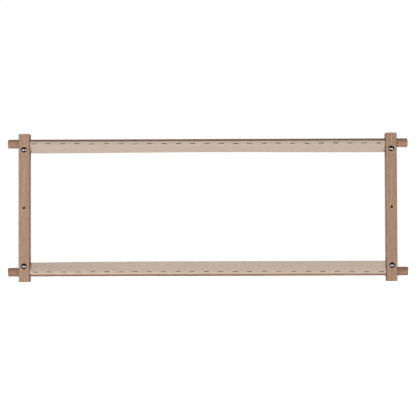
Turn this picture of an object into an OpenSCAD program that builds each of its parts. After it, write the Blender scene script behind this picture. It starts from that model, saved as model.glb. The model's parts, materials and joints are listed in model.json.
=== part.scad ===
// Scroll frame for embroidery: two split-end side bars, two rollers with stapled tapes, four clamp bolts.
// Millimetres. X runs along the rollers, Z up the side bars, and the front of the frame faces -Y.
// The origin is under the middle of the whole frame, on the surface that it stands on.

/* [Side bars] */
// Length of a side bar, end to end
bar_len = 318; // [180:1:900]
// Width of a side bar, seen from the front
bar_w = 23.4; // [18:0.1:40]
// Depth of a side bar, front to back
bar_d = 28; // [24:0.5:45]
// Radius along the four long edges of a side bar
bar_edge_r = 1; // [0.4:0.1:3]
// Chamfer round both ends of a side bar
bar_end_chamfer = 0.8; // [0.2:0.1:3]
// Free width between the two side bars
window_w = 764; // [200:1:1200]
// Diameter of the blind hole in the front of a side bar, at its middle
stand_hole_d = 5; // [3:0.1:8]
// Depth of that blind hole
stand_hole_depth = 20; // [5:0.5:22]

/* [Rollers] */
// Diameter of a roller
roller_d = 19; // [14:0.5:22]
// Length of roller that stands out past each side bar
roller_proud = 24; // [8:0.5:60]
// Rounding of a roller's ends
roller_round = 2.5; // [0.5:0.1:5]
// Gap all round between a roller and its bore
roller_clear = 0.08; // [0.02:0.01:0.1]
// Distance from a roller's axis to the nearer end of the side bar
axis_inset = 21; // [16:0.5:40]

/* [Split ends] */
// Width of the saw slot that splits a bar's end into two jaws
slot_w = 8; // [1.5:0.1:10]
// Depth of the saw slot past the clamp bolt's axis
slot_past_bolt = 20; // [6:0.5:30]

/* [Clamp bolts] */
// Thread diameter of a clamp bolt
bolt_d = 5; // [4:0.5:6]
// Gap all round between a bolt and its hole in the wood
bolt_hole_clear = 0.25; // [0.1:0.05:0.6]
// Wood left between a roller bore and the bolt hole
bolt_web = 0.7; // [0.4:0.1:6]
// Diameter of a bolt's domed head
head_d = 12.5; // [9:0.1:16]
// Height of a bolt's domed head
head_h = 3.3; // [2:0.1:5]
// Height of the straight rim under the dome
head_rim = 0.5; // [0.2:0.1:1]
// Side of the square neck under a bolt's head
neck_w = 5.2; // [4.5:0.1:7]
// Length of the square neck
neck_len = 3.5; // [2:0.1:5]
// Gap all round between the square neck and its pocket
neck_clear = 0.05; // [0.02:0.01:0.2]
// Length of thread that shows past a wing nut's boss
bolt_past_boss = 6.8; // [2:0.1:9]
// Chamfer on a bolt's tip
bolt_tip = 0.6; // [0.2:0.1:1.2]

/* [Washers and wing nuts] */
// Outside diameter of a washer
washer_d = 15; // [9:0.5:20]
// Thickness of a washer
washer_t = 1.2; // [0.6:0.1:2.5]
// Gap all round between a bolt and its washer
washer_clear = 0.15; // [0.1:0.01:0.4]
// Diameter of a wing nut's boss at its foot
boss_d = 10.5; // [8:0.5:13]
// Diameter of a wing nut's boss at its top
boss_top_d = 8.4; // [7.5:0.1:12]
// Height of a wing nut's boss
boss_h = 4.2; // [3:0.1:8]
// Span of a wing nut over both wings
wing_span = 26; // [22:0.5:36]
// Height of a wing nut from foot to wing tips
wing_h = 13; // [11:0.5:18]
// Thickness of a wing
wing_t = 2; // [1.2:0.1:3]
// Radius of a wing's round tip
wing_tip_r = 4.3; // [3:0.1:5]
// Height of a wing's lower root above the nut's foot
wing_root = 1.4; // [0.5:0.1:2.5]
// Gap all round between a bolt's thread and its wing nut
thread_clear = 0.05; // [0.02:0.01:0.1]

/* [Tapes] */
// Width of a tape, laid flat
tape_w = 28; // [22:0.5:40]
// Thickness of a tape
tape_t = 1; // [0.6:0.1:2]
// Gap between each end of a tape and the side bar
tape_end_gap = 1; // [0.5:0.1:10]
// Gap between a tape and the roller that it laps
tape_seat = 0.05; // [0.02:0.01:0.2]
// Angle that the top tape laps over its roller, from the front line
top_tape_lap = 28; // [15:1:60]
// Angle past the front line at which the top tape leaves its roller
top_tape_lean = 36; // [0:1:40]
// Angle that the bottom tape laps under its roller, from the front line
bottom_tape_lap = 33; // [15:1:60]
// Angle past the front line at which the bottom tape leaves its roller
bottom_tape_lean = 3; // [0:1:40]

/* [Staples] */
// Length of a staple's crown
staple_crown = 11; // [6:0.5:14]
// Width of the staple wire
staple_w = 0.9; // [0.5:0.1:1.5]
// Thickness of the staple wire
staple_t = 0.6; // [0.4:0.1:1]
// Length of a staple's legs below its crown
staple_leg = 6; // [3:0.5:8]
// Distance from one staple to the next
staple_pitch = 30.9; // [18:0.1:60]
// Least distance from a tape's end to the middle of its first staple
staple_margin = 8; // [8:0.5:20]

/* [Hidden] */
$fn = 64;
// Overshoot of a cut past the face that it opens
cut = 1;
// Middle of a side bar's width, measured from the middle of the frame
bar_x = window_w / 2 + bar_w / 2;
// Depth of the whole frame, from the bolt heads to the wing tips or bolt tips
hardware_d = washer_t + max(wing_h, boss_h + bolt_past_boss);
front_y = head_h - (head_h + bar_d + hardware_d) / 2;
mid_y = front_y + bar_d / 2;
back_y = front_y + bar_d;
roller_r = roller_d / 2;
bore_r = roller_r + roller_clear;
roller_len = window_w + 2 * (bar_w + roller_proud);
bolt_hole_r = bolt_d / 2 + bolt_hole_clear;
bolt_offset = bore_r + bolt_web + bolt_hole_r;
bolt_len = bar_d + washer_t + boss_h + bolt_past_boss;
slot_depth = axis_inset + bolt_offset + slot_past_bolt;
tape_len = window_w - 2 * tape_end_gap;
tape_in_r = roller_r + tape_seat;
tape_out_r = tape_in_r + tape_t;
// Largest angle between two points of a tape's curve round its roller
tape_step = 5;
staple_count = floor((tape_len - 2 * staple_margin) / staple_pitch) + 1;
wood = [0.69, 0.57, 0.49];
roller_wood = [0.64, 0.51, 0.44];
webbing = [0.79, 0.73, 0.66];
zinc = [0.62, 0.63, 0.65];
polished = [0.75, 0.75, 0.76];
wire = [0.55, 0.54, 0.53];

// Height of the top (end = 1) or bottom (end = -1) roller axis
function roller_z(end) = bar_len / 2 + end * (bar_len / 2 - axis_inset);

// Height of the clamp bolt beside that roller
function bolt_z(end) = roller_z(end) - end * bolt_offset;

// Turns a shape made along +Z to lie along +X
module along_x() {
    rotate([0, 90, 0]) children();
}

// Turns a shape made along +Z to lie along +Y, front to back
module along_y() {
    rotate([-90, 0, 0]) children();
}

// Turns a profile drawn in Y and Z into a prism centred on the middle of the frame
module prism_x(len) {
    rotate([90, 0, 90])
        translate([0, 0, -len / 2])
            linear_extrude(height = len) children();
}

// Puts a shape made along +Z on the clamp bolt's axis of one corner, at depth y
module at_bolt(side, end, y) {
    translate([side * bar_x, y, bolt_z(end)]) along_y() children();
}

// Rectangle in the first quadrant with its four corners cut at 45 degrees
module chamfered(w, h, c) {
    polygon([[c, 0], [w - c, 0], [w, c], [w, h - c], [w - c, h], [c, h], [0, h - c], [0, c]]);
}

// Solid bar with rounded long edges and chamfered ends, from the origin
module bar_blank() {
    intersection() {
        union() {
            translate([bar_edge_r, 0, 0]) cube([bar_w - 2 * bar_edge_r, bar_d, bar_len]);
            translate([0, bar_edge_r, 0]) cube([bar_w, bar_d - 2 * bar_edge_r, bar_len]);
            for (x = [bar_edge_r, bar_w - bar_edge_r], y = [bar_edge_r, bar_d - bar_edge_r])
                translate([x, y, 0]) cylinder(r = bar_edge_r, h = bar_len);
        }
        translate([0, bar_d, 0]) rotate([90, 0, 0])
            linear_extrude(height = bar_d) chamfered(bar_w, bar_len, bar_end_chamfer);
        rotate([90, 0, 90])
            linear_extrude(height = bar_w) chamfered(bar_d, bar_len, bar_end_chamfer);
    }
}

// Roller bore, saw slot, bolt hole and square neck pocket of one end
module split_end_cuts(side, end) {
    x = side * bar_x;
    neck = neck_w + 2 * neck_clear;
    slot_z = end > 0 ? bar_len - slot_depth : -cut;
    translate([x - bar_w / 2 - cut, mid_y, roller_z(end)])
        along_x() cylinder(r = bore_r, h = bar_w + 2 * cut, $fn = 96);
    translate([x - bar_w / 2 - cut, mid_y - slot_w / 2, slot_z])
        cube([bar_w + 2 * cut, slot_w, slot_depth + cut]);
    at_bolt(side, end, front_y - cut) cylinder(r = bolt_hole_r, h = bar_d + 2 * cut);
    at_bolt(side, end, front_y - cut)
        translate([-neck / 2, -neck / 2, 0]) cube([neck, neck, neck_len + neck_clear + cut]);
}

module side_bar(side) {
    color(wood)
        difference() {
            translate([side * bar_x - bar_w / 2, front_y, 0]) bar_blank();
            for (end = [-1, 1]) split_end_cuts(side, end);
            translate([side * bar_x, front_y - cut, bar_len / 2])
                along_y() cylinder(d = stand_hole_d, h = stand_hole_depth + cut);
        }
}

// Half of a roller's outline, from its middle to one end, with the end rounded
function roller_end(end) = [
    for (a = [0:15:90]) [
        roller_r - roller_round * (1 - cos(a)),
        end * (roller_len / 2 - roller_round * (1 - sin(a)))
    ]
];

module roller(end) {
    low = roller_end(-1);
    outline = concat([for (i = [len(low) - 1:-1:0]) low[i]], roller_end(1));
    color(roller_wood)
        translate([0, mid_y, roller_z(end)]) along_x()
            rotate_extrude($fn = 96)
                polygon(concat([[0, -roller_len / 2]], outline, [[0, roller_len / 2]]));
}

// Point at radius r and angle a above a roller's front line, in Y and Z from its axis
function front_point(r, a) = [-r * cos(a), r * sin(a)];

// Tape that laps its roller from lap degrees on the outer side of its front line, leaves it lean degrees past that
// line and runs straight from there. The outer side is up (end = 1) or down (end = -1)
module hanging_tape(end, lap, lean) {
    steps = ceil((lap + lean) / tape_step);
    angles = [for (i = [0:steps]) end * (lap - (lap + lean) * i / steps)];
    outer = [for (a = angles) front_point(tape_out_r, a)];
    inner = [for (i = [steps:-1:0]) front_point(tape_in_r, angles[i])];
    hang = tape_w - (lap + lean) * PI / 180 * (tape_in_r + tape_t / 2);
    drop = hang * [sin(lean), -end * cos(lean)];
    prism_x(tape_len) polygon(concat(outer, [outer[steps] + drop, inner[0] + drop], inner));
}

module tape(end) {
    lap = end > 0 ? top_tape_lap : bottom_tape_lap;
    lean = end > 0 ? top_tape_lean : bottom_tape_lean;
    color(webbing)
        translate([0, mid_y, roller_z(end)]) hanging_tape(end, lap, lean);
}

// One staple at the front line of a roller's tape, crown level, legs driven back into the wood
module staple() {
    crown_y = -tape_out_r - staple_t;
    translate([-staple_crown / 2, crown_y, -staple_w / 2]) cube([staple_crown, staple_t, staple_w]);
    for (x = [-staple_crown / 2, staple_crown / 2 - staple_t])
        translate([x, crown_y, -staple_w / 2]) cube([staple_t, staple_t + staple_leg, staple_w]);
}

module staples(end) {
    first = -(staple_count - 1) / 2 * staple_pitch;
    color(wire)
        for (i = [0:staple_count - 1])
            translate([first + i * staple_pitch, mid_y, roller_z(end)]) staple();
}

// Domed head in front, square neck, plain shank with a chamfered tip at the back
module bolt(side, end) {
    dome_h = head_h - head_rim;
    dome_r = (pow(head_d / 2, 2) + pow(dome_h, 2)) / (2 * dome_h);
    color(polished)
        at_bolt(side, end, front_y) {
            translate([0, 0, -head_rim]) cylinder(d = head_d, h = head_rim);
            intersection() {
                translate([0, 0, dome_r - head_h]) sphere(r = dome_r);
                translate([0, 0, -head_h]) cylinder(d = head_d, h = dome_h);
            }
            translate([-neck_w / 2, -neck_w / 2, 0]) cube([neck_w, neck_w, neck_len]);
            cylinder(d = bolt_d, h = bolt_len - bolt_tip);
            translate([0, 0, bolt_len - bolt_tip])
                cylinder(d1 = bolt_d, d2 = bolt_d - 2 * bolt_tip, h = bolt_tip);
        }
}

module washer(side, end) {
    color(zinc)
        at_bolt(side, end, back_y)
            difference() {
                cylinder(d = washer_d, h = washer_t);
                translate([0, 0, -cut]) cylinder(r = bolt_d / 2 + washer_clear, h = washer_t + 2 * cut);
            }
}

// Outline of one wing, out along X and up along Y from the nut's foot
module wing_outline() {
    tip = [wing_span / 2 - wing_tip_r, wing_h - wing_tip_r];
    translate(tip) circle(r = wing_tip_r);
    polygon([
        [bolt_d / 2, wing_root],
        tip + wing_tip_r * [cos(-70), sin(-70)],
        tip + wing_tip_r * [cos(160), sin(160)],
        [bolt_d / 2, boss_h]
    ]);
}

module wing_nut(side, end) {
    color(zinc)
        at_bolt(side, end, back_y + washer_t)
            difference() {
                union() {
                    cylinder(d1 = boss_d, d2 = boss_top_d, h = boss_h);
                    for (turn = [0, 180])
                        rotate([0, 0, turn])
                            rotate([90, 0, 90]) translate([0, 0, -wing_t / 2])
                                linear_extrude(height = wing_t) wing_outline();
                }
                translate([0, 0, -cut]) cylinder(r = bolt_d / 2 + thread_clear, h = wing_h + 2 * cut);
            }
}

side_bar(-1);  // left_side_bar
side_bar(1);  // right_side_bar
roller(1);  // top_roller
roller(-1);  // bottom_roller
tape(1);  // top_tape
tape(-1);  // bottom_tape
staples(1);  // top_staples
staples(-1);  // bottom_staples
bolt(-1, 1);  // top_left_bolt
bolt(1, 1);  // top_right_bolt
bolt(-1, -1);  // bottom_left_bolt
bolt(1, -1);  // bottom_right_bolt
washer(-1, 1);  // top_left_washer
washer(1, 1);  // top_right_washer
washer(-1, -1);  // bottom_left_washer
washer(1, -1);  // bottom_right_washer
wing_nut(-1, 1);  // top_left_wing_nut
wing_nut(1, 1);  // top_right_wing_nut
wing_nut(-1, -1);  // bottom_left_wing_nut
wing_nut(1, -1);  // bottom_right_wing_nut
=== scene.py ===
"""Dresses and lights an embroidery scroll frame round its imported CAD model.

Metres, in the frame of the CAD model: X runs along the rollers, Z up the side bars, and the front faces -Y.
"""

import json
import math
import random

import bmesh
import bpy
from mathutils import Matrix, Vector, noise


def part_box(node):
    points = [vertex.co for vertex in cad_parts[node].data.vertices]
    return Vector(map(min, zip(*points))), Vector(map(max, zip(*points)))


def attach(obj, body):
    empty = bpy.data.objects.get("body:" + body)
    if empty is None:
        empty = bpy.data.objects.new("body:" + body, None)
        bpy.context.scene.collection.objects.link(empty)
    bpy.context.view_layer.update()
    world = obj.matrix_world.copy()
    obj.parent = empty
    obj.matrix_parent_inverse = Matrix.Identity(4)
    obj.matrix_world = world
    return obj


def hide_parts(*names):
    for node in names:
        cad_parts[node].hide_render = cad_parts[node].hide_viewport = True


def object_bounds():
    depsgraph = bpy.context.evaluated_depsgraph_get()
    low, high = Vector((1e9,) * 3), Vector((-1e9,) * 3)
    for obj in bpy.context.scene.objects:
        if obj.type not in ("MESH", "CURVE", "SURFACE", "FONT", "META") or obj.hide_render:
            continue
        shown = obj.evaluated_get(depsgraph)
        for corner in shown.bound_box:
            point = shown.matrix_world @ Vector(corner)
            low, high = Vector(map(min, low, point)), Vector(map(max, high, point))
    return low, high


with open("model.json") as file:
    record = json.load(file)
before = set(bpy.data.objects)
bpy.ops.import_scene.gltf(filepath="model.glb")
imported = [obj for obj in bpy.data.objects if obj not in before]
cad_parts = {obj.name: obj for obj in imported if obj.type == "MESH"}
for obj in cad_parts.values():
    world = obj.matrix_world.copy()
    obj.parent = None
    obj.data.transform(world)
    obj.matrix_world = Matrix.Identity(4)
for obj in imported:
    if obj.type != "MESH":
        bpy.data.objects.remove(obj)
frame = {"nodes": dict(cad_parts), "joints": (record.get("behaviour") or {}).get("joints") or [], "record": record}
CAD_LOW, CAD_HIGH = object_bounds()

bl_info = {
    "name": "Embroidery scroll frame",
    "version": (1, 0, 0),
    "blender": (4, 5, 0),
    "location": "3D View > Sidebar > Scroll Frame",
    "description": "Beech, webbing, staples and clamp hardware of a scroll frame, with its studio",
    "category": "Object",
}

MM = 0.001
SAME_POINT = 0.001 * MM
DEGREE = math.radians(1)
CREASE = 35 * DEGREE
WHITE = (1.0, 1.0, 1.0, 1.0)
BLACK = (0.0, 0.0, 0.0, 1.0)
DARK_ROOM = (0.018, 0.018, 0.02, 1.0)
PALE_FLOOR = (0.86, 0.86, 0.86, 1.0)
RUST = (0.09, 0.05, 0.03, 1.0)
CORNERS = [(end, side) for end in ("top", "bottom") for side in ("left", "right")]
IMAGE_WIDTH = 416
JOINTS = {joint["name"]: joint for joint in frame["joints"]}
STAND_HOLE = next(
    mount["dims"] for mount in frame["record"]["mounts"] if mount["name"] == "left_stand_hole"
)


def srgb(red, green, blue):
    """Linear colour of an sRGB one given from 0 to 255."""
    return tuple(
        share / 12.92 if share <= 0.04045 else ((share + 0.055) / 1.055) ** 2.4
        for share in (red / 255, green / 255, blue / 255)
    )


def roller_axis(end):
    """Point on a roller's axis at the middle of the frame."""
    return Vector(JOINTS[end + "_roller_turn"]["pos_m"])


def nut_foot(end, side):
    """Point on a clamp bolt's axis where its wing nut meets the washer."""
    return Vector(JOINTS[f"{end}_{side}_nut_turn"]["pos_m"])


def outward(end):
    """1 where a roller's outer side is up, -1 where it is down."""
    return 1 if end == "top" else -1


class ScrollFrameWood(bpy.types.PropertyGroup):
    """Beech of the side bars and the rollers."""

    bar_colour: bpy.props.FloatVectorProperty(
        name="Bar colour", description="Planed beech of the side bars",
        default=srgb(201, 168, 147), min=0, max=1, subtype="COLOR",
    )
    roller_colour: bpy.props.FloatVectorProperty(
        name="Roller colour", description="Turned beech of the rollers, a little redder than the bars",
        default=srgb(192, 155, 134), min=0, max=1, subtype="COLOR",
    )
    ring_gap: bpy.props.FloatProperty(
        name="Ring gap", description="Distance from one growth ring to the next",
        default=2.6 * MM, min=0.5 * MM, max=8 * MM, subtype="DISTANCE",
    )
    ring_depth: bpy.props.FloatProperty(
        name="Ring depth", description="How much darker the late wood of a ring is",
        default=0.16, min=0, max=0.6, subtype="FACTOR",
    )
    fleck_depth: bpy.props.FloatProperty(
        name="Fleck depth", description="How dark the short flecks of beech are",
        default=0.42, min=0, max=1, subtype="FACTOR",
    )
    # The slot width and reach only place the painted shade on the slot walls; the slots themselves are cut in the
    # CAD model.
    slot_width: bpy.props.FloatProperty(
        name="Slot width", description="Width of the saw slots in the bars' ends",
        default=8 * MM, min=1.5 * MM, max=10 * MM, subtype="DISTANCE",
    )
    slot_reach: bpy.props.FloatProperty(
        name="Slot reach", description="Distance from a bar's end to the bottom of its saw slot",
        default=54 * MM, min=20 * MM, max=80 * MM, subtype="DISTANCE",
    )
    roughness: bpy.props.FloatProperty(
        name="Roughness", description="How dull the sanded wood is",
        default=0.55, min=0, max=1, subtype="FACTOR",
    )


class ScrollFrameTape(bpy.types.PropertyGroup):
    """The two woven tapes that the embroidery is sewn to."""

    colour: bpy.props.FloatVectorProperty(
        name="Colour", description="Unbleached cotton of the tapes",
        default=srgb(216, 199, 183), min=0, max=1, subtype="COLOR",
    )
    width: bpy.props.FloatProperty(
        name="Width", description="Width of a tape, laid flat",
        default=28 * MM, min=20 * MM, max=40 * MM, subtype="DISTANCE",
    )
    thickness: bpy.props.FloatProperty(
        name="Thickness", description="Thickness of the webbing",
        default=0.9 * MM, min=0.4 * MM, max=2 * MM, subtype="DISTANCE",
    )
    left_reach: bpy.props.FloatProperty(
        name="Left reach",
        description="How much nearer its bar the left end of a tape is than the right end",
        default=0.7 * MM, min=0, max=0.9 * MM, subtype="DISTANCE",
    )
    top_lap: bpy.props.FloatProperty(
        name="Top lap", description="Angle that the top tape laps over its roller, from the front line",
        default=28 * DEGREE, min=10 * DEGREE, max=60 * DEGREE, subtype="ANGLE",
    )
    top_lean: bpy.props.FloatProperty(
        name="Top lean", description="Angle past the front line at which the top tape leaves its roller",
        default=34 * DEGREE, min=0, max=45 * DEGREE, subtype="ANGLE",
    )
    top_bow: bpy.props.FloatProperty(
        name="Top bow",
        description="How much further the top tape leans at the middle, which draws its free edge up there",
        default=9 * DEGREE, min=0, max=20 * DEGREE, subtype="ANGLE",
    )
    bottom_lap: bpy.props.FloatProperty(
        name="Bottom lap",
        description="Angle that the bottom tape laps under its roller, from the front line",
        default=26.5 * DEGREE, min=10 * DEGREE, max=60 * DEGREE, subtype="ANGLE",
    )
    bottom_lean: bpy.props.FloatProperty(
        name="Bottom lean",
        description="Angle past the front line at which the bottom tape leaves its roller",
        default=19 * DEGREE, min=0, max=45 * DEGREE, subtype="ANGLE",
    )
    bottom_droop: bpy.props.FloatProperty(
        name="Bottom droop",
        description="How much further the bottom tape leans at its left end, where its free edge hangs lower",
        default=13 * DEGREE, min=0, max=30 * DEGREE, subtype="ANGLE",
    )
    yarn: bpy.props.FloatProperty(
        name="Yarn", description="Distance from one yarn of the weave to the next",
        default=0.55 * MM, min=0.2 * MM, max=2 * MM, subtype="DISTANCE",
    )
    bulge: bpy.props.FloatProperty(
        name="Bulge", description="How far the stapled edge stands off between two staples",
        default=0.45 * MM, min=0, max=1 * MM, subtype="DISTANCE",
    )


class ScrollFrameStaples(bpy.types.PropertyGroup):
    """The wire staples along each roller."""

    colour: bpy.props.FloatVectorProperty(
        name="Colour", description="Dull steel wire",
        default=srgb(150, 146, 142), min=0, max=1, subtype="COLOR",
    )
    crown: bpy.props.FloatProperty(
        name="Crown", description="Length of a staple's crown",
        default=11 * MM, min=5 * MM, max=16 * MM, subtype="DISTANCE",
    )
    wire_width: bpy.props.FloatProperty(
        name="Wire width", description="Width of the flat wire",
        default=1.25 * MM, min=0.4 * MM, max=2 * MM, subtype="DISTANCE",
    )
    wire_thickness: bpy.props.FloatProperty(
        name="Wire thickness", description="Thickness of the flat wire",
        default=0.6 * MM, min=0.3 * MM, max=1 * MM, subtype="DISTANCE",
    )
    leg: bpy.props.FloatProperty(
        name="Leg", description="Length of the legs below the crown",
        default=6 * MM, min=2 * MM, max=8 * MM, subtype="DISTANCE",
    )
    pitch: bpy.props.FloatProperty(
        name="Pitch", description="Mean distance from one staple to the next",
        default=30.9 * MM, min=15 * MM, max=60 * MM, subtype="DISTANCE",
    )


class ScrollFrameHardware(bpy.types.PropertyGroup):
    """Clamp bolts, washers and wing nuts."""

    bolt_colour: bpy.props.FloatVectorProperty(
        name="Bolt colour", description="Bright plating of the bolts",
        default=srgb(214, 214, 216), min=0, max=1, subtype="COLOR",
    )
    zinc_colour: bpy.props.FloatVectorProperty(
        name="Zinc colour", description="Dull plating of the washers and wing nuts",
        default=srgb(176, 178, 182), min=0, max=1, subtype="COLOR",
    )
    thread_diameter: bpy.props.FloatProperty(
        name="Thread diameter", description="Outside diameter of the bolts' thread",
        default=5 * MM, min=3 * MM, max=8 * MM, subtype="DISTANCE",
    )
    thread_pitch: bpy.props.FloatProperty(
        name="Thread pitch", description="Rise of the thread in one turn",
        default=0.8 * MM, min=0.4 * MM, max=1.5 * MM, subtype="DISTANCE",
    )
    rim: bpy.props.FloatProperty(
        name="Head rim", description="Height of the straight rim under a bolt's dome",
        default=0.5 * MM, min=0.1 * MM, max=1.5 * MM, subtype="DISTANCE",
    )
    neck: bpy.props.FloatProperty(
        name="Neck", description="Side of the square neck under a bolt's head",
        default=5.2 * MM, min=4 * MM, max=8 * MM, subtype="DISTANCE",
    )
    boss_height: bpy.props.FloatProperty(
        name="Boss height", description="Height of a wing nut's boss",
        default=4.2 * MM, min=3 * MM, max=8 * MM, subtype="DISTANCE",
    )
    wing_thickness: bpy.props.FloatProperty(
        name="Wing thickness", description="Thickness of a wing nut's wings",
        default=2 * MM, min=1 * MM, max=3 * MM, subtype="DISTANCE",
    )
    wing_tip: bpy.props.FloatProperty(
        name="Wing tip", description="Radius of a wing's round tip",
        default=4.3 * MM, min=2 * MM, max=6 * MM, subtype="DISTANCE",
    )


class ScrollFrameStudio(bpy.types.PropertyGroup):
    """Camera, lamps and floor."""

    distance: bpy.props.FloatProperty(
        name="Distance", description="Distance from the camera to the bars' front face",
        default=3.2316, min=1, max=10, subtype="DISTANCE",
    )
    eye: bpy.props.FloatVectorProperty(
        name="Eye", description="Camera's place along X and its height above the floor",
        default=(0.02, 0.0544), size=2, subtype="XYZ",
    )
    pitch: bpy.props.FloatProperty(
        name="Pitch", description="How far the camera looks up", subtype="ANGLE", default=0.0319
    )
    yaw: bpy.props.FloatProperty(
        name="Yaw", description="How far the camera looks to the right", subtype="ANGLE", default=-0.006
    )
    roll: bpy.props.FloatProperty(
        name="Roll", description="How far the camera leans to the right", subtype="ANGLE", default=0.00323
    )
    focal_pixels: bpy.props.FloatProperty(
        name="Focal length", description="Focal length in pixels of the 416-pixel image",
        default=1510.5, min=100, subtype="PIXEL",
    )
    softbox_power: bpy.props.FloatProperty(
        name="Softbox power",
        description="Power of the left front softbox; the right one has a little over half of it",
        default=85.0, min=0, subtype="POWER",
    )
    fill_power: bpy.props.FloatProperty(
        name="Fill power",
        description="Power of the soft lamp behind the frame; the ones beside it have a twelfth of it",
        default=56.0, min=0, subtype="POWER",
    )
    ambient: bpy.props.FloatProperty(
        name="Ambient", description="Strength of the light that comes from all round",
        default=0.22, min=0, max=2, subtype="FACTOR",
    )


def feed(tree, node, inputs):
    """Feeds a node's inputs with plain values or other nodes' outputs."""
    for name, value in inputs.items():
        if isinstance(value, bpy.types.NodeSocket):
            tree.links.new(value, node.inputs[name])
        else:
            node.inputs[name].default_value = value


def put(tree, kind, inputs=None, **settings):
    """Adds a node to a tree, sets it and feeds it."""
    made = tree.nodes.new(kind)
    for name, value in settings.items():
        setattr(made, name, value)
    feed(tree, made, inputs or {})
    return made


def maths(tree, operation, *values):
    """Output of a Math node."""
    return put(tree, "ShaderNodeMath", dict(enumerate(values)), operation=operation).outputs[0]


def product(tree, first, second):
    """Output of a Math node that multiplies."""
    return maths(tree, "MULTIPLY", first, second)


def times_plus(tree, value, factor, added):
    """Output of a Math node that multiplies, then adds."""
    return maths(tree, "MULTIPLY_ADD", value, factor, added)


def split(tree, place):
    """The three outputs of coordinates taken apart."""
    return put(tree, "ShaderNodeSeparateXYZ", {0: place}).outputs


def remap(tree, value, low, high, to_low=0.0, to_high=1.0):
    """Output of a smooth Map Range node."""
    spans = {"Value": value, "From Min": low, "From Max": high, "To Min": to_low, "To Max": to_high}
    return put(tree, "ShaderNodeMapRange", spans, interpolation_type="SMOOTHSTEP").outputs[0]


def blended(tree, share, first, second, mode="MIX"):
    """Colour output of a Mix node."""
    feeds = {0: share, 6: first, 7: second}
    return put(tree, "ShaderNodeMix", feeds, data_type="RGBA", blend_type=mode).outputs[2]


def mapped(tree, place, kind="POINT", **moves):
    """Coordinates moved, turned and scaled."""
    return put(tree, "ShaderNodeMapping", {"Vector": place, **moves}, vector_type=kind).outputs[0]


def grain_noise(tree, place, scale, detail=2.0, roughness=0.5):
    """Noise from 0 to 1 at its own scale along each axis, in periods per millimetre."""
    place = mapped(tree, place, Scale=scale)
    feeds = {"Vector": place, "Scale": 1.0, "Detail": detail, "Roughness": roughness}
    return put(tree, "ShaderNodeTexNoise", feeds).outputs[0]


def tinted(colour, red, green, blue):
    """Colour with each channel times its own share, and full alpha."""
    return (colour[0] * red, colour[1] * green, colour[2] * blue, 1.0)


def rgba(colour, share=1.0):
    """Colour with each channel times the same share, and full alpha."""
    return tinted(colour, share, share, share)


def new_material(name):
    """A material with its node tree and its Principled shader."""
    material = bpy.data.materials.new(name)
    material.use_nodes = True
    tree = material.node_tree
    return material, tree, tree.nodes["Principled BSDF"]


def relief(tree, shader, height, distance):
    """Gives a shader a bump from a height of 0 to 1."""
    bump = put(tree, "ShaderNodeBump", {"Height": height, "Distance": distance, "Strength": 1.0})
    feed(tree, shader, {"Normal": bump.outputs[0]})


def dress(piece, material):
    """Gives a piece, or a CAD node, one material."""
    if piece.material_slots:
        for slot in piece.material_slots:
            slot.material = material
    else:
        piece.data.materials.append(material)


def millimetres(tree, centre=(0.0, 0.0, 0.0), turn=(0.0, 0.0, 0.0)):
    """Object coordinates in millimetres from a centre, turned so that the grain lies along Z."""
    place = put(tree, "ShaderNodeTexCoord").outputs["Object"]
    moved = mapped(tree, place, Location=tuple(-c for c in centre))
    return mapped(tree, moved, Rotation=turn, Scale=(1 / MM,) * 3)


def growth_rings(tree, place, pith, rise, gap):
    """Late wood, from 0 to 1, of the growth rings round a pith that lies pith millimetres away and comes
    nearer by rise along the grain, which draws the rings out into arches."""
    wobble = grain_noise(tree, place, (0.05, 0.05, 0.008), detail=3.0)
    axes = split(tree, place)
    drift = product(tree, axes[2], 0.012)
    across = maths(tree, "ADD", maths(tree, "SUBTRACT", axes[0], pith[0]), drift)
    deep = times_plus(tree, axes[2], rise, maths(tree, "SUBTRACT", axes[1], pith[1]))
    squares = maths(tree, "ADD", maths(tree, "POWER", across, 2.0), maths(tree, "POWER", deep, 2.0))
    radius = times_plus(tree, wobble, 6.0, maths(tree, "SQRT", squares))
    phase = maths(tree, "FRACT", maths(tree, "DIVIDE", radius, gap / MM))
    return maths(tree, "POWER", phase, 2.2)


def ray_flecks(tree, place):
    """Short spindles of ray tissue along the grain, from 0 to 1."""
    cells = {"Vector": mapped(tree, place, Scale=(1.15, 1.15, 0.24)), "Scale": 1.0, "Randomness": 1.0}
    near = put(tree, "ShaderNodeTexVoronoi", cells).outputs["Distance"]
    return remap(tree, near, 0.1, 0.26, 1.0, 0.0)


def end_grain(tree, turn):
    """1 on the faces that cut across the grain and 0 along it."""
    normal = put(tree, "ShaderNodeTexCoord").outputs["Normal"]
    turned = mapped(tree, normal, "NORMAL", Rotation=turn)
    along = maths(tree, "ABSOLUTE", split(tree, turned)[2])
    return remap(tree, along, 0.55, 0.9)


def edge_shade_and_dirt(tree, place, half):
    """Painted shade at the long, rounded edges of a bar, broken up like handled dirt: 1 at the edges, half
    millimetres from the bar's middle, fading out in 2 mm, with breaks.
    """
    across = maths(tree, "ABSOLUTE", split(tree, place)[0])
    near = remap(tree, across, half - 2.4, half - 0.6)
    breaks = grain_noise(tree, place, (0.1, 0.1, 0.04), detail=4.0)
    return product(tree, near, remap(tree, breaks, 0.2, 0.6, 0.45, 1.0))


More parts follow.
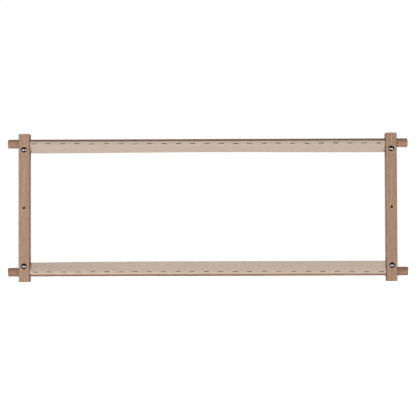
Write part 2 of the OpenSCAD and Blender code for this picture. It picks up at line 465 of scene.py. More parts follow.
def cut_wall_shade(tree, place, size, wood):
    """Mask of painted shade: 1 on the walls of a bar's saw slots and of its blind hole, whose darker colour stands
    in for the shade inside them; the bar's size is in millimetres.
    """
    axes = split(tree, place)
    half = wood.slot_width / MM / 2
    bottom = size.z / 2 - wood.slot_reach / MM
    slot = remap(tree, maths(tree, "ABSOLUTE", axes[1]), half + 0.1, half + 0.4, 1.0, 0.0)
    slot = product(tree, slot, remap(tree, maths(tree, "ABSOLUTE", axes[2]), bottom - 0.4, bottom - 0.1))
    hole = STAND_HOLE["r_mm"]
    squares = maths(tree, "ADD", maths(tree, "POWER", axes[0], 2.0), maths(tree, "POWER", axes[2], 2.0))
    wall = remap(tree, maths(tree, "SQRT", squares), hole + 0.05, hole + 0.2, 1.0, 0.0)
    floor = STAND_HOLE["length_mm"] - size.y / 2
    wall = product(tree, wall, remap(tree, axes[1], floor + 0.1, floor + 0.6, 1.0, 0.0))
    return maths(tree, "MAXIMUM", slot, wall)


def beech(name, colour, centre, pith, rise, turn, wood, size=None):
    """Sanded beech: rings, fibre streaks, ray flecks, fine pores and darker end grain; a bar, which has a size in
    millimetres, also has painted shade, partly like handled dirt, on its long edges, and painted shade on the
    walls of its saw slots and blind hole."""
    material, tree, shader = new_material(name)
    place = millimetres(tree, centre, turn)
    rings = growth_rings(tree, place, pith, rise, wood.ring_gap)
    flecks = ray_flecks(tree, place)
    fibres = grain_noise(tree, place, (1.5, 1.5, 0.016), detail=4.0, roughness=0.6)
    pores = remap(tree, grain_noise(tree, place, (7.0, 7.0, 0.5), detail=1.0), 0.6, 0.74)
    mottle = grain_noise(tree, place, (0.25, 0.25, 0.04), detail=4.0, roughness=0.65)
    speckle = grain_noise(tree, place, (0.6, 0.6, 0.2), detail=3.0, roughness=0.7)
    slow = grain_noise(tree, place, (0.035, 0.035, 0.005))
    bands = grain_noise(tree, place, (0.12, 0.12, 0.002), detail=4.0, roughness=0.65)
    ends = end_grain(tree, turn)
    pale = tinted(colour, 1.07, 1.06, 1.04)
    pink = tinted(colour, 0.99, 0.93, 0.92)
    body = blended(tree, remap(tree, slow, 0.3, 0.7), pale, pink)
    body = blended(tree, remap(tree, bands, 0.41, 0.59), tinted(colour, 0.66, 0.62, 0.59), body)
    body = blended(tree, remap(tree, mottle, 0.41, 0.59), tinted(colour, 0.64, 0.61, 0.59), body)
    body = blended(tree, remap(tree, fibres, 0.25, 0.75), tinted(colour, 0.83, 0.82, 0.81), body)
    spots = remap(tree, speckle, 0.38, 0.62, 1.0, 0.0)
    body = blended(tree, spots, body, (0.78, 0.75, 0.72, 1.0), "MULTIPLY")
    late = product(tree, rings, wood.ring_depth * 2)
    body = blended(tree, late, body, tinted(colour, 0.72, 0.66, 0.6))
    spindles = product(tree, flecks, wood.fleck_depth)
    body = blended(tree, spindles, body, tinted(colour, 0.7, 0.6, 0.52))
    body = blended(tree, product(tree, pores, 0.3), body, tinted(colour, 0.6, 0.52, 0.46))
    if size:
        # Painted shade darkens the rounded long edges, broken up like handled dirt.
        worn = product(tree, edge_shade_and_dirt(tree, place, size.x / 2), 0.75)
        body = blended(tree, worn, body, tinted(colour, 0.52, 0.46, 0.42))
    across = blended(tree, product(tree, rings, 0.5), rgba(colour, 0.74), tinted(colour, 0.5, 0.44, 0.4))
    body = blended(tree, ends, body, across)
    if size:
        # Painted shade: the slot and hole walls are made near black-brown, standing in for the shade inside them.
        body = blended(tree, cut_wall_shade(tree, place, size, wood), body, tinted(colour, 0.14, 0.08, 0.06))
    dull = times_plus(tree, ends, 0.2, times_plus(tree, fibres, -0.16, wood.roughness + 0.08))
    feed(tree, shader, {"Base Color": body, "Roughness": dull, "Specular IOR Level": 0.12})
    height = times_plus(tree, pores, -0.7, times_plus(tree, rings, -0.25, fibres))
    relief(tree, shader, height, 0.06 * MM)
    return material


def smooth_by_angle(bm):
    """Shades a mesh smooth, with its creases left sharp."""
    for face in bm.faces:
        face.smooth = True
    for edge in bm.edges:
        edge.smooth = edge.calc_face_angle(0.0) < CREASE


def add_object(name, data):
    """Puts a new object into the scene."""
    made = bpy.data.objects.new(name, data)
    bpy.context.scene.collection.objects.link(made)
    return made


def piece_from(bm, name):
    """Turns a bmesh into a piece at the origin, in the scene."""
    bmesh.ops.recalc_face_normals(bm, faces=bm.faces)
    smooth_by_angle(bm)
    mesh = bpy.data.meshes.new(name)
    bm.to_mesh(mesh)
    bm.free()
    return add_object(name, mesh)


def lay_sheet(bm, width, height):
    """Lays a flat rectangle at the origin."""
    bmesh.ops.create_grid(bm, x_segments=1, y_segments=1, size=0.5)
    bmesh.ops.scale(bm, verts=bm.verts, vec=(width, height, 1))


def lathe(bm, outline, steps):
    """Spins an outline of (radius, depth) points round the Y axis into a closed shape."""
    points = [bm.verts.new((radius, depth, 0.0)) for radius, depth in outline]
    edges = [bm.edges.new(pair) for pair in zip(points, points[1:])]
    bmesh.ops.spin(
        bm, geom=points + edges, cent=(0, 0, 0), axis=(0, 1, 0), angle=math.tau, steps=steps, use_merge=True
    )
    bmesh.ops.remove_doubles(bm, verts=bm.verts, dist=SAME_POINT)
    bmesh.ops.dissolve_degenerate(bm, edges=bm.edges, dist=SAME_POINT)


def tape_lap(end, tape):
    """Angle of its roller that one tape laps."""
    return tape.top_lap if end == "top" else tape.bottom_lap


def tape_lean(end, share, tape):
    """Lean of one tape at a share of its length, from 0 at the left end to 1 at the right."""
    if end == "top":
        return tape.top_lean + tape.top_bow * math.sin(math.pi * share) ** 2
    drooping = 0.38
    return tape.bottom_lean + tape.bottom_droop * max(1 - share / drooping, 0.0) ** 1.5


def tape_radius(end, tape):
    """Radius of a tape's middle layer where it laps its roller."""
    low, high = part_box(end + "_roller")
    clear = 0.1 * MM
    return (high.z - low.z) / 2 + tape.thickness / 2 + clear


def tape_section(end, across, radius, lap, lean):
    """Point of the tape's middle layer and its outward normal, in Y and Z from the roller's axis."""
    angle = max(lap - across / radius, -lean)
    run_on = max(across - (lap + lean) * radius, 0.0)
    outer = outward(end)
    normal = Vector((0.0, -math.cos(angle), outer * math.sin(angle)))
    onward = Vector((0.0, math.sin(lean), -outer * math.cos(lean)))
    return normal * radius + onward * run_on, normal


def staple_places(end, staples):
    """Where each staple of a row stands along X: an even pitch that the hand with the gun strays from."""
    stray = random.Random(end + " row")
    middle, sway, crest = (-1.9, 1.6, 9) if end == "top" else (-1.2, -2.0, 14)
    low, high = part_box(end + "_staples")
    count = round((high.x - low.x - staples.crown) / staples.pitch) + 1
    first = (low.x + high.x) / 2 - (count - 1) / 2 * staples.pitch
    places = []
    for index in range(count):
        off = middle + sway * math.cos(math.tau * (index - crest) / count) + stray.uniform(-0.6, 0.6)
        places.append(first + index * staples.pitch + off * MM)
    return places


def fading(distance, span):
    """1 at no distance, falling off smoothly over a span."""
    return math.exp(-((distance / span) ** 2))


def tape_relief(end, along, across, reach, line, tape, staples):
    """How far the webbing stands off its plain section: held in at a staple, off the roller between."""
    dimple, waves = 0.3 * MM, 0.3 * MM
    held = fading(max(reach - staples.crown / 2, 0.0), 3.5 * MM)
    beside = fading(across - line, 1.6 * MM)
    edge = math.exp(-across / (5 * MM))
    free = (across / tape.width) ** 2
    roll = noise.noise(Vector((along * 14.0, outward(end) * 3.0, 0.0)))
    return tape.bulge * edge * (1 - held) - dimple * held * beside + waves * roll * free


def weave_tape(end, tape, staples):
    """One tape as a sheet lapped on its roller, with its flat coordinates kept for the weave."""
    low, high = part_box(end + "_tape")
    start = low.x - tape.left_reach
    length = high.x - start
    centre = roller_axis(end)
    radius, lap = tape_radius(end, tape), tape_lap(end, tape)
    places = staple_places(end, staples)
    bm = bmesh.new()
    bmesh.ops.create_grid(bm, x_segments=640, y_segments=30, size=0.5)
    flat = bm.verts.layers.float_vector.new("flat")
    for vert in bm.verts:
        share = vert.co.x + 0.5
        along = start + share * length
        across = (vert.co.y + 0.5) * tape.width
        reach = min(abs(along - place) for place in places)
        point, normal = tape_section(end, across, radius, lap, tape_lean(end, share, tape))
        off = tape_relief(end, along, across, reach, lap * radius, tape, staples)
        vert[flat] = (along / MM, across / MM, 0.0)
        vert.co = Vector((along, centre.y, centre.z)) + point + normal * off
    piece = piece_from(bm, end + "_tape_webbing")
    wall = piece.modifiers.new("Thickness", "SOLIDIFY")
    wall.thickness = tape.thickness
    wall.offset = 0.0
    return piece, length


def webbing(name, tape, tone):
    """Plain-woven cotton: yarns over and under with painted shade between them, slubs along the warp, and a
    tighter selvedge whose darker band is partly painted edge shade.
    """
    material, tree, shader = new_material(name)
    colour = rgba(tape.colour, tone)
    flat = put(tree, "ShaderNodeAttribute", attribute_name="flat").outputs["Vector"]
    axes = split(tree, flat)
    yarn = tape.yarn / MM
    weft = maths(tree, "DIVIDE", axes[0], yarn)
    warp = maths(tree, "DIVIDE", axes[1], yarn)
    waves = [maths(tree, "SINE", product(tree, run, math.pi)) for run in (weft, warp)]
    rounds = [maths(tree, "ABSOLUTE", wave) for wave in waves]
    parity = maths(tree, "ADD", maths(tree, "FLOOR", weft), maths(tree, "FLOOR", warp))
    over = product(tree, maths(tree, "FRACT", maths(tree, "DIVIDE", parity, 2.0)), 2.0)
    lifted = put(tree, "ShaderNodeMix", {0: over, 2: rounds[0], 3: rounds[1]}).outputs[0]
    slubs = grain_noise(tree, flat, (0.02, 1.6, 0.0), detail=4.0, roughness=0.6)
    cloud = grain_noise(tree, flat, (0.02, 0.12, 0.0), detail=3.0)
    patches = grain_noise(tree, flat, (0.07, 0.16, 0.0), detail=2.0)
    fuzz = grain_noise(tree, flat, (3.0, 3.0, 0.0), detail=2.0)
    body = blended(tree, remap(tree, slubs, 0.25, 0.75), tinted(colour, 0.9, 0.88, 0.86), colour)
    body = blended(tree, remap(tree, cloud, 0.3, 0.7), tinted(colour, 0.94, 0.91, 0.92), body)
    body = blended(tree, remap(tree, patches, 0.42, 0.75), body, tinted(colour, 1.0, 0.99, 0.94))
    # Painted shade in the gaps between the yarns, where they dip under each other.
    yarn_gap_shade = product(tree, remap(tree, lifted, 0.0, 0.45, 1.0, 0.0), 0.35)
    body = blended(tree, yarn_gap_shade, body, tinted(colour, 0.66, 0.58, 0.52))
    edge = tape.width / MM
    # The free edge is darker: a tighter selvedge, and painted shade along the edge of the webbing.
    selvedge = remap(tree, axes[1], edge - 1.6, edge - 0.4)
    body = blended(tree, product(tree, selvedge, 0.5), body, tinted(colour, 0.86, 0.74, 0.66))
    feed(tree, shader, {"Base Color": body, "Roughness": times_plus(tree, fuzz, 0.12, 0.82)})
    feed(tree, shader, {"Sheen Weight": 0.15, "Sheen Roughness": 0.5, "Specular IOR Level": 0.1})
    relief(tree, shader, times_plus(tree, fuzz, 0.25, lifted), 0.12 * MM)
    return material


def bend_staple(staples):
    """One staple at the origin: its crown's outer face at depth 0, centred, with the legs along +Y."""
    bm = bmesh.new()
    thick, wide, turn = staples.wire_thickness, staples.wire_width, staples.wire_thickness * 0.35
    half = staples.crown / 2
    inner = turn + thick
    lay_sheet(bm, thick, wide)
    bmesh.ops.rotate(bm, verts=bm.verts, cent=(0, 0, 0), matrix=Matrix.Rotation(math.pi / 2, 3, "X"))
    bmesh.ops.bevel(
        bm, geom=bm.verts[:], offset=thick * 0.28, segments=1, profile=0.5, affect="VERTICES", material=-1
    )
    bmesh.ops.translate(bm, verts=bm.verts, vec=(-half + thick / 2, staples.leg + thick, 0))
    section = bm.faces[:] + bm.edges[:] + bm.verts[:]
    section = draw_wire(bm, section, (0, inner - staples.leg - thick, 0))
    section = turn_wire(bm, section, (-half + inner, inner, 0))
    section = draw_wire(bm, section, (2 * (half - inner), 0, 0))
    section = turn_wire(bm, section, (half - inner, inner, 0))
    draw_wire(bm, section, (0, staples.leg + thick - inner, 0))
    return bm


def draw_wire(bm, section, shift):
    """Draws the end of the wire straight on and gives its new end."""
    made = bmesh.ops.extrude_face_region(bm, geom=section, use_keep_orig=True)["geom"]
    bmesh.ops.translate(bm, verts=[v for v in made if isinstance(v, bmesh.types.BMVert)], vec=shift)
    return made


def turn_wire(bm, section, centre):
    """Bends the end of the wire through a right angle and gives its new end."""
    turned = bmesh.ops.spin(bm, geom=section, cent=centre, axis=(0, 0, 1), angle=math.pi / 2, steps=4)
    return turned["geom_last"]


def staple_line(end, share):
    """Height of a row of staples at a share of its length: the top row rises at its left end, the bottom
    one sinks at its right end."""
    if end == "top":
        return roller_axis(end).z + (0.9 * (1 - share) ** 3 - 1.0) * MM
    return roller_axis(end).z + (0.7 - 1.3 * share**3) * MM


def drive_staples(end, staples):
    """A row of staples in one piece, each a little off true, with a tone of its own."""
    hand = random.Random(end + " staples")
    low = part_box(end + "_staples")[0]
    pattern = bpy.data.meshes.new("staple_pattern")
    one = bend_staple(staples)
    one.to_mesh(pattern)
    one.free()
    bm = bmesh.new()
    tone = bm.verts.layers.float.new("tone")
    places = staple_places(end, staples)
    for place in places:
        line = staple_line(end, (place - places[0]) / (places[-1] - places[0]))
        start = len(bm.verts)
        bm.from_mesh(pattern)
        bm.verts.ensure_lookup_table()
        new = bm.verts[start:]
        lean = Matrix.Rotation(hand.gauss(0, 2.2) * DEGREE, 4, "Y")
        proud, off = hand.uniform(0.0, 0.12) * MM, hand.gauss(0, 0.2) * MM
        spot = Matrix.Translation((place, low.y + proud, line + off))
        bmesh.ops.transform(bm, matrix=spot @ lean, verts=new)
        shade = hand.random()
        for vert in new:
            vert[tone] = shade
    bpy.data.meshes.remove(pattern)
    return piece_from(bm, end + "_staple_row")


def dull_wire(name, colour, dark, pale):
    """Flat steel wire, from dark to bright by each staple's own tone, scratched along the crown."""
    material, tree, shader = new_material(name)
    tone = put(tree, "ShaderNodeAttribute", attribute_name="tone").outputs["Fac"]
    place = millimetres(tree)
    scratches = grain_noise(tree, place, (0.4, 6.0, 6.0), detail=3.0)
    rust = remap(tree, grain_noise(tree, place, (0.7, 0.7, 0.7), detail=4.0), 0.5, 0.72)
    bright = remap(tree, tone, 0.55, 1.0)
    body = blended(tree, bright, rgba(colour, dark), rgba(colour, pale))
    body = blended(tree, product(tree, scratches, 0.4), body, rgba(colour, dark * 0.6))
    body = blended(tree, product(tree, rust, 0.5), body, RUST)
    dull = times_plus(tree, scratches, 0.25, 0.3)
    feed(tree, shader, {"Base Color": body, "Metallic": 0.85, "Roughness": dull})
    relief(tree, shader, scratches, 0.02 * MM)
    return material


def thread_start(head_height, length):
    """Depth at which the ridges of a bolt's thread begin."""
    return head_height + 0.72 * (length - head_height)


def bolt_outline(head_radius, head_height, length, hardware):
    """Radius and depth along a bolt, from the dome's crown at depth 0 to its tip."""
    dome = head_height - hardware.rim
    ball = (head_radius**2 + dome**2) / (2 * dome)
    edge = math.asin(head_radius / ball)
    root = hardware.thread_diameter / 2
    steps, ease, taper = 14, 0.12 * MM, 0.6 * MM
    slopes = [edge * i / steps for i in range(steps + 1)]
    outline = [(ball * math.sin(slope), ball * (1 - math.cos(slope))) for slope in slopes]
    outline += [(head_radius, head_height - ease), (head_radius - ease, head_height), (root, head_height)]
    rings_a_turn = 8
    fine = hardware.thread_pitch / rings_a_turn
    start = thread_start(head_height, length)
    tip = length - taper
    rings = int((tip - start) / fine)
    outline += [(root, start + fine * i) for i in range(rings + 1)]
    return outline + [(root, tip), (root - taper, length), (0.0, length)]


def cut_thread(bm, from_depth, to_depth, hardware):
    """Moves the shank's rings in and out, so that they follow a thread with a flat root."""
    crest = hardware.thread_diameter / 2
    depth, steep = 0.54 * hardware.thread_pitch, 1.25
    for vert in bm.verts:
        radius = math.hypot(vert.co.x, vert.co.z)
        if from_depth < vert.co.y < to_depth and radius > crest * 0.9:
            turns = vert.co.y / hardware.thread_pitch - math.atan2(vert.co.z, vert.co.x) / math.tau
            flank = abs(turns % 1.0 - 0.5) * 2
            new = crest - depth * min(flank * steep, 1.0)
            vert.co.x *= new / radius
            vert.co.z *= new / radius


def forge_bolt(end, side, hardware):
    """A clamp bolt: low dome, square neck and a cut thread."""
    low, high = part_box(f"{end}_{side}_bolt")
    head_radius = (high.x - low.x) / 2
    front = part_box(side + "_side_bar")[0].y
    head_height = front - low.y
    length = high.y - low.y
    bm = bmesh.new()
    lathe(bm, bolt_outline(head_radius, head_height, length, hardware), steps=48)
    lead_in, lead_out = 0.4 * hardware.thread_pitch, 0.5 * MM
    start = thread_start(head_height, length) + lead_in
    cut_thread(bm, start, length - lead_out, hardware)
    neck_length, sunk = 3.5 * MM, 0.05 * MM
    neck = bmesh.ops.create_cube(bm, size=1.0)["verts"]
    bmesh.ops.scale(bm, verts=neck, vec=(hardware.neck, neck_length, hardware.neck))
    bmesh.ops.translate(bm, verts=neck, vec=(0, head_height + neck_length / 2 - sunk, 0))
    foot = nut_foot(end, side)
    bmesh.ops.translate(bm, verts=bm.verts, vec=(foot.x, low.y, foot.z))
    return piece_from(bm, f"{end}_{side}_clamp_bolt")


def bright_plate(name, colour):
    """Bright plating with faint turning marks and wiping scratches."""
    material, tree, shader = new_material(name)
    place = millimetres(tree)
    wear = grain_noise(tree, place, (0.5, 0.5, 0.5), detail=4.0)
    fine = grain_noise(tree, place, (9.0, 2.0, 3.0), detail=2.0)
    body = blended(tree, remap(tree, wear, 0.35, 0.75), rgba(colour), rgba(colour, 0.86))
    dull = times_plus(tree, wear, 0.14, 0.1)
    feed(tree, shader, {"Base Color": body, "Metallic": 1.0, "Roughness": dull})
    relief(tree, shader, fine, 0.0006 * MM)
    return material


def stamp_washer(end, side, hardware):
    """A flat washer with its edges rounded over by the stamping."""
    low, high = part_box(f"{end}_{side}_washer")
    play, ease = 0.15 * MM, 0.18 * MM
    rim, bore = (high.x - low.x) / 2, hardware.thread_diameter / 2 + play
    thick = high.y - low.y
    outline = [
        (bore + ease * 0.6, 0.0),
        (rim - ease, 0.0),
        (rim - ease * 0.3, ease * 0.3),
        (rim, ease),
        (rim, thick - ease * 1.6),
        (rim - ease * 0.5, thick - ease * 0.5),
        (rim - ease * 1.6, thick),
        (bore + ease, thick),
        (bore, thick - ease),
        (bore, ease * 0.6),
        (bore + ease * 0.6, 0.0),
    ]
    bm = bmesh.new()
    lathe(bm, outline, steps=64)
    foot = nut_foot(end, side)
    bmesh.ops.translate(bm, verts=bm.verts, vec=(foot.x, low.y, foot.z))
    return piece_from(bm, f"{end}_{side}_flat_washer")


def zinc_plate(name, colour, grain):
    """Dull zinc plating: cloudy spangle, fine pits and worn, brighter patches."""
    material, tree, shader = new_material(name)
    place = millimetres(tree)
    cells = {"Vector": place, "Scale": 0.8}
    spangle = put(tree, "ShaderNodeTexVoronoi", cells, feature="SMOOTH_F1").outputs["Distance"]
    cloud = grain_noise(tree, place, (0.35, 0.35, 0.35), detail=5.0, roughness=0.65)
    pits = grain_noise(tree, place, (4.0, 4.0, 4.0), detail=2.0)
    body = blended(tree, remap(tree, cloud, 0.35, 0.7), rgba(colour), tinted(colour, 0.74, 0.75, 0.78))
    body = blended(tree, product(tree, spangle, 0.35), body, rgba(colour, 1.12))
    dull = times_plus(tree, cloud, 0.25, 0.26)
    feed(tree, shader, {"Base Color": body, "Metallic": 1.0, "Roughness": dull})
    relief(tree, shader, maths(tree, "ADD", pits, cloud), grain)
    return material


def cast_nut(hardware):
    """A wing nut at the origin, its foot at depth 0: boss and wings fused and softened as in a casting."""
    low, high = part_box("top_left_wing_nut")
    span, height = high.z - low.z, high.y - low.y
    bore = hardware.thread_diameter / 2 + 0.05 * MM
    foot, crown, ease = 5.25 * MM, 4.2 * MM, 0.4 * MM
    bm = bmesh.new()
    lathe(
        bm,
        [
            (bore, 0.0),
            (foot, 0.0),
            (crown, hardware.boss_height),
            (bore + ease, hardware.boss_height),
            (bore, hardware.boss_height - ease),
            (bore, 0.0),
        ],
        steps=64,
    )
    for way in (1, -1):
        shape_wing(bm, way, span, height, hardware)
    rough = piece_from(bm, "nut_pattern")
    fuse = rough.modifiers.new("Fuse", "REMESH")
    fuse.mode = "VOXEL"
    fuse.voxel_size = 0.22 * MM
    soften = rough.modifiers.new("Soften", "SMOOTH")
    soften.iterations = 5
    bpy.context.view_layer.update()
    cast = bpy.data.meshes.new_from_object(rough.evaluated_get(bpy.context.evaluated_depsgraph_get()))
    bpy.data.objects.remove(rough)
    return cast


def shape_wing(bm, way, span, height, hardware):
    """One wing of the nut, up the bar or down it: a round tip and the web that joins it to the boss."""
    tip = hardware.wing_tip
    across, up = span / 2 - tip, height - tip
    root, web_foot = 3.3 * MM, 1.4 * MM
    disc = bmesh.ops.create_circle(bm, cap_ends=True, radius=tip, segments=40)["verts"]
    bmesh.ops.translate(bm, verts=disc, vec=(across, up, 0))
    sides = (-70 * DEGREE, 160 * DEGREE)
    rim = [(across + tip * math.cos(side), up + tip * math.sin(side)) for side in sides]
    outline = [(root, web_foot), *rim, (root, hardware.boss_height)]
    web = [bm.verts.new((*spot, 0)) for spot in outline]
    faces = list({face for vert in disc for face in vert.link_faces}) + [bm.faces.new(web)]
    made = bmesh.ops.extrude_face_region(bm, geom=faces, use_keep_orig=True)["geom"]
    raised = [item for item in made if isinstance(item, bmesh.types.BMVert)]
    bmesh.ops.translate(bm, verts=raised, vec=(0, 0, hardware.wing_thickness))
    wing = disc + web + raised
    bmesh.ops.translate(bm, verts=wing, vec=(0, 0, -hardware.wing_thickness / 2))
    bmesh.ops.rotate(bm, verts=wing, cent=(0, 0, 0), matrix=Matrix.Rotation(-way * math.pi / 2, 3, "Y"))


def facing(place, target):
    """Turn of a lamp or card that looks from a place at a target."""
    return (Vector(target) - Vector(place)).to_track_quat("-Z", "Y")


def add_lamp(name, place, target, size, power):
    """A rectangular soft lamp that neither the camera nor a reflection shows."""
    light = bpy.data.lights.new(name, "AREA")
    light.shape = "RECTANGLE"
    light.size, light.size_y = size
    light.energy = power
    lamp = add_object(name, light)
    lamp.location = place
    lamp.rotation_euler = facing(place, target).to_euler()
    lamp.visible_camera = False
    lamp.visible_glossy = False


def hang_card(name, place, target, size, strength):
    """A softbox's face, which shows only where polished metal mirrors it."""
    bm = bmesh.new()
    lay_sheet(bm, *size)
    turn = facing(place, target).to_matrix().to_4x4()
    bmesh.ops.transform(bm, matrix=Matrix.Translation(place) @ turn, verts=bm.verts)
    card = piece_from(bm, name)
    material, tree, shader = new_material(name + "_glow")
    feed(tree, shader, {"Base Color": BLACK, "Emission Color": WHITE, "Emission Strength": strength})
    dress(card, material)
    card.visible_camera = card.visible_diffuse = card.visible_transmission = card.visible_shadow = False


def seen_rays(tree):
    """1 for camera, glossy and transmission rays, and 0 for those that carry light."""
    rays = put(tree, "ShaderNodeLightPath").outputs
    seen = maths(tree, "MAXIMUM", rays["Is Camera Ray"], rays["Is Glossy Ray"])
    return maths(tree, "MAXIMUM", seen, rays["Is Transmission Ray"]), rays["Is Camera Ray"]


def build_world(studio):
    """White behind the frame, a dark room in front for the metal, and a low light from all round."""
    world = bpy.data.worlds.new("studio_world")
    bpy.context.scene.world = world
    world.use_nodes = True
    tree = world.node_tree
    seen, camera = seen_rays(tree)
    axes = split(tree, put(tree, "ShaderNodeTexCoord").outputs["Generated"])
    behind = maths(tree, "MAXIMUM", remap(tree, axes[1], 0.25, 0.55), camera)
    shown = blended(tree, behind, DARK_ROOM, WHITE)
    below = remap(tree, axes[2], -0.6, 0.7, 1.0, 0.25)
    soft = blended(tree, below, BLACK, rgba((studio.ambient,) * 3))
    feed(tree, tree.nodes["Background"], {"Color": blended(tree, seen, soft, shown), "Strength": 1.0})


def lay_floor():
    """A pale floor that renders white, keeps the frame's soft shadow and lets low softboxes through."""
    bm = bmesh.new()
    lay_sheet(bm, 40.0, 40.0)
    floor = piece_from(bm, "studio_floor")
    material, tree, shader = new_material("floor_white")
    feed(tree, shader, {"Base Color": PALE_FLOOR, "Roughness": 0.9, "Specular IOR Level": 0.0})
    shine = product(tree, seen_rays(tree)[0], 0.93)
    glow = put(tree, "ShaderNodeEmission", {"Color": WHITE, "Strength": shine})
    both = put(tree, "ShaderNodeAddShader", {0: shader.outputs[0], 1: glow.outputs[0]})
    feed(tree, tree.nodes["Material Output"], {"Surface": both.outputs[0]})
    dress(floor, material)
    floor.visible_glossy = False
    floor.visible_shadow = False


class SCROLLFRAME_OT_camera(bpy.types.Operator):
    """Set up the camera in front of the frame, where the photograph was taken from"""

    bl_idname = "scroll_frame.camera"
    bl_label = "Camera"

    def execute(self, context):
        studio = context.scene.scroll_frame_studio
        data = bpy.data.cameras.new("studio_camera")
        data.lens = data.sensor_width * studio.focal_pixels / IMAGE_WIDTH
        data.clip_start, data.clip_end = 0.05, 100.0
        camera = add_object("studio_camera", data)
        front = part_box("left_side_bar")[0].y
        turn = (
            Matrix.Rotation(-studio.yaw, 4, "Z")
            @ Matrix.Rotation(math.pi / 2 + studio.pitch, 4, "X")
            @ Matrix.Rotation(-studio.roll, 4, "Z")
        )
        across, up = studio.eye
        camera.matrix_world = Matrix.Translation((across, front - studio.distance, up)) @ turn
        context.scene.camera = camera
        return {"FINISHED"}


class SCROLLFRAME_OT_stage(bpy.types.Operator):
    """Lay the floor and set the softboxes and the surrounding light"""

    bl_idname = "scroll_frame.stage"
    bl_label = "Floor and lamps"

    def execute(self, context):
        studio = context.scene.scroll_frame_studio
        build_world(studio)
        lay_floor()
        middle = (CAD_LOW + CAD_HIGH) / 2
        wide, small, face = (1.6, 0.8), (0.6, 0.6), (1.9, 2.9)
        add_lamp("fill_back", (0.0, 2.4, 1.1), middle, wide, studio.fill_power)
        for side, way, share in (("left", -1, 1.0), ("right", 1, 0.55)):
            power = studio.softbox_power * share
            add_lamp("softbox_" + side, (way * 1.3, -3.3, -0.55), middle, wide, power)
            hang_card("softbox_face_" + side, (way * 2.4, -4.2, -0.72), middle, face, 2.8)
            add_lamp("fill_" + side, (way * 1.5, 0.6, 0.5), middle, small, studio.fill_power / 12)
        return {"FINISHED"}


class SCROLLFRAME_OT_side_bars(bpy.types.Operator):
    """Give the two side bars their beech"""

    bl_idname = "scroll_frame.side_bars"
    bl_label = "Side bars"

    def execute(self, context):
        wood = context.scene.scroll_frame_wood
        # The right bar's beech is made darker than the left one's: painted shade, as the light falls off towards
        # the right.
        for side, pith, rise, tone in (
            ("left", (-64.0, 88.0), 0.0, 1.0),
            ("right", (1.5, 42.0), -0.035, 0.955),
        ):
            low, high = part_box(side + "_side_bar")
            colour = rgba(wood.bar_colour, tone)
            centre, size = (low + high) / 2, (high - low) / MM
            finish = beech(side + "_bar_beech", colour, centre, pith, rise, (0.0, 0.0, 0.0), wood, size)
            dress(frame["nodes"][side + "_side_bar"], finish)
        return {"FINISHED"}


class SCROLLFRAME_OT_rollers(bpy.types.Operator):
    """Give the two rollers their beech"""

    bl_idname = "scroll_frame.rollers"
    bl_label = "Rollers"

    def execute(self, context):
        wood = context.scene.scroll_frame_wood
        along = (0.0, -math.pi / 2, 0.0)
        # The bottom roller's beech is made darker than the top one's: painted shade, as the light falls off
        # towards the bottom.
        for end, pith, tone in (("top", (-33.0, 52.0), 1.0), ("bottom", (47.0, 38.0), 0.89)):
            colour = rgba(wood.roller_colour, tone)
            finish = beech(end + "_roller_beech", colour, roller_axis(end), pith, 0.0, along, wood)
            dress(frame["nodes"][end + "_roller"], finish)
        return {"FINISHED"}


class SCROLLFRAME_OT_tapes(bpy.types.Operator):
    """Lap a woven tape on to each roller"""

    bl_idname = "scroll_frame.tapes"
    bl_label = "Tapes"

    def execute(self, context):
        tape = context.scene.scroll_frame_tape
        # The two tapes are one cotton in two tones, set for the light each one gets: painted light and shade.
        for end, body, tone in (("top", "upper_roller", 0.9), ("bottom", "lower_roller", 0.96)):
            piece, length = weave_tape(end, tape, context.scene.scroll_frame_staples)
            dress(piece, webbing(end + "_webbing", tape, tone))
            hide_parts(end + "_tape")
            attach(piece, body)
        return {"FINISHED"}


class SCROLLFRAME_OT_staples(bpy.types.Operator):
    """Drive a row of staples through each tape"""

    bl_idname = "scroll_frame.staples"
    bl_label = "Staples"

    def execute(self, context):
        staples = context.scene.scroll_frame_staples
        # The top row's wire is painted much darker than the bottom row's: painted shade, with each staple's own
        # tone varying at random within its row.
        for end, body, dark, pale in (
            ("top", "upper_roller", 0.1, 0.5),
            ("bottom", "lower_roller", 0.22, 1.0),
        ):
            piece = drive_staples(end, staples)
            dress(piece, dull_wire(end + "_staple_wire", staples.colour, dark, pale))
            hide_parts(end + "_staples")
            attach(piece, body)
        return {"FINISHED"}


class SCROLLFRAME_OT_bolts(bpy.types.Operator):
    """Put the four domed clamp bolts in"""

    bl_idname = "scroll_frame.bolts"
    bl_label = "Clamp bolts"

    def execute(self, context):
        hardware = context.scene.scroll_frame_hardware
        finish = bright_plate("bolt_plating", hardware.bolt_colour)
        for end, side in CORNERS:
            piece = forge_bolt(end, side, hardware)
            dress(piece, finish)
            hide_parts(f"{end}_{side}_bolt")
            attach(piece, side + "_bar")
        return {"FINISHED"}


class SCROLLFRAME_OT_washers(bpy.types.Operator):
    """Put a washer behind each bar on its bolt"""

    bl_idname = "scroll_frame.washers"
    bl_label = "Washers"

    def execute(self, context):
        hardware = context.scene.scroll_frame_hardware
        finish = zinc_plate("washer_zinc", hardware.zinc_colour, 0.01 * MM)
        for end, side in CORNERS:
            piece = stamp_washer(end, side, hardware)
            dress(piece, finish)
            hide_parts(f"{end}_{side}_washer")
            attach(piece, f"{end}_{side}_washer")
        return {"FINISHED"}


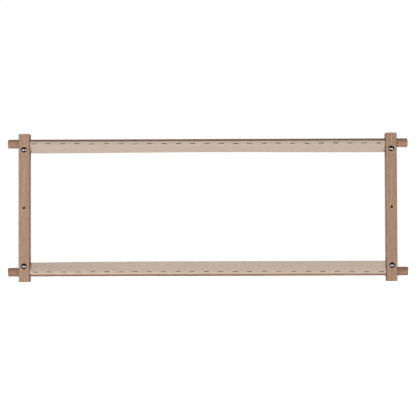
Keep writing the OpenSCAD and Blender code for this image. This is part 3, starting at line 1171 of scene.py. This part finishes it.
class SCROLLFRAME_OT_wing_nuts(bpy.types.Operator):
    """Screw a cast wing nut on to each bolt"""

    bl_idname = "scroll_frame.wing_nuts"
    bl_label = "Wing nuts"

    def execute(self, context):
        hardware = context.scene.scroll_frame_hardware
        finish = zinc_plate("cast_zinc", hardware.zinc_colour, 0.06 * MM)
        cast = cast_nut(hardware)
        for end, side in CORNERS:
            mesh = cast.copy()
            mesh.transform(Matrix.Translation(nut_foot(end, side)))
            mesh.shade_smooth()
            piece = add_object(f"{end}_{side}_cast_wing_nut", mesh)
            dress(piece, finish)
            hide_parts(f"{end}_{side}_wing_nut")
            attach(piece, f"{end}_{side}_nut")
        bpy.data.meshes.remove(cast)
        return {"FINISHED"}


class SCROLLFRAME_PT_sidebar(bpy.types.Panel):
    """Lists the steps that dress the frame"""

    bl_idname = "SCROLLFRAME_PT_sidebar"
    bl_label = "Scroll Frame"
    bl_space_type = "VIEW_3D"
    bl_region_type = "UI"
    bl_category = "Scroll Frame"

    def draw(self, context):
        for step in STEPS:
            self.layout.operator(step.bl_idname)


STEPS = (
    SCROLLFRAME_OT_camera,
    SCROLLFRAME_OT_stage,
    SCROLLFRAME_OT_side_bars,
    SCROLLFRAME_OT_rollers,
    SCROLLFRAME_OT_tapes,
    SCROLLFRAME_OT_staples,
    SCROLLFRAME_OT_bolts,
    SCROLLFRAME_OT_washers,
    SCROLLFRAME_OT_wing_nuts,
)
SETTINGS = {
    "scroll_frame_wood": ScrollFrameWood,
    "scroll_frame_tape": ScrollFrameTape,
    "scroll_frame_staples": ScrollFrameStaples,
    "scroll_frame_hardware": ScrollFrameHardware,
    "scroll_frame_studio": ScrollFrameStudio,
}


def register():
    """Registers the settings, the steps and their panel."""
    for name, group in SETTINGS.items():
        bpy.utils.register_class(group)
        setattr(bpy.types.Scene, name, bpy.props.PointerProperty(type=group))
    for step in STEPS:
        bpy.utils.register_class(step)
    bpy.utils.register_class(SCROLLFRAME_PT_sidebar)


def unregister():
    """Takes everything that register added away again."""
    bpy.utils.unregister_class(SCROLLFRAME_PT_sidebar)
    for step in reversed(STEPS):
        bpy.utils.unregister_class(step)
    for name, group in reversed(SETTINGS.items()):
        delattr(bpy.types.Scene, name)
        bpy.utils.unregister_class(group)


def main():
    """Dresses the frame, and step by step."""
    register()
    bpy.context.scene.view_settings.view_transform = "Standard"
    bpy.ops.scroll_frame.camera()
    bpy.ops.scroll_frame.stage()
    bpy.ops.scroll_frame.side_bars()
    bpy.ops.scroll_frame.rollers()
    bpy.ops.scroll_frame.tapes()
    bpy.ops.scroll_frame.staples()
    bpy.ops.scroll_frame.bolts()
    bpy.ops.scroll_frame.washers()
    bpy.ops.scroll_frame.wing_nuts()


if __name__ == "__main__":
    main()
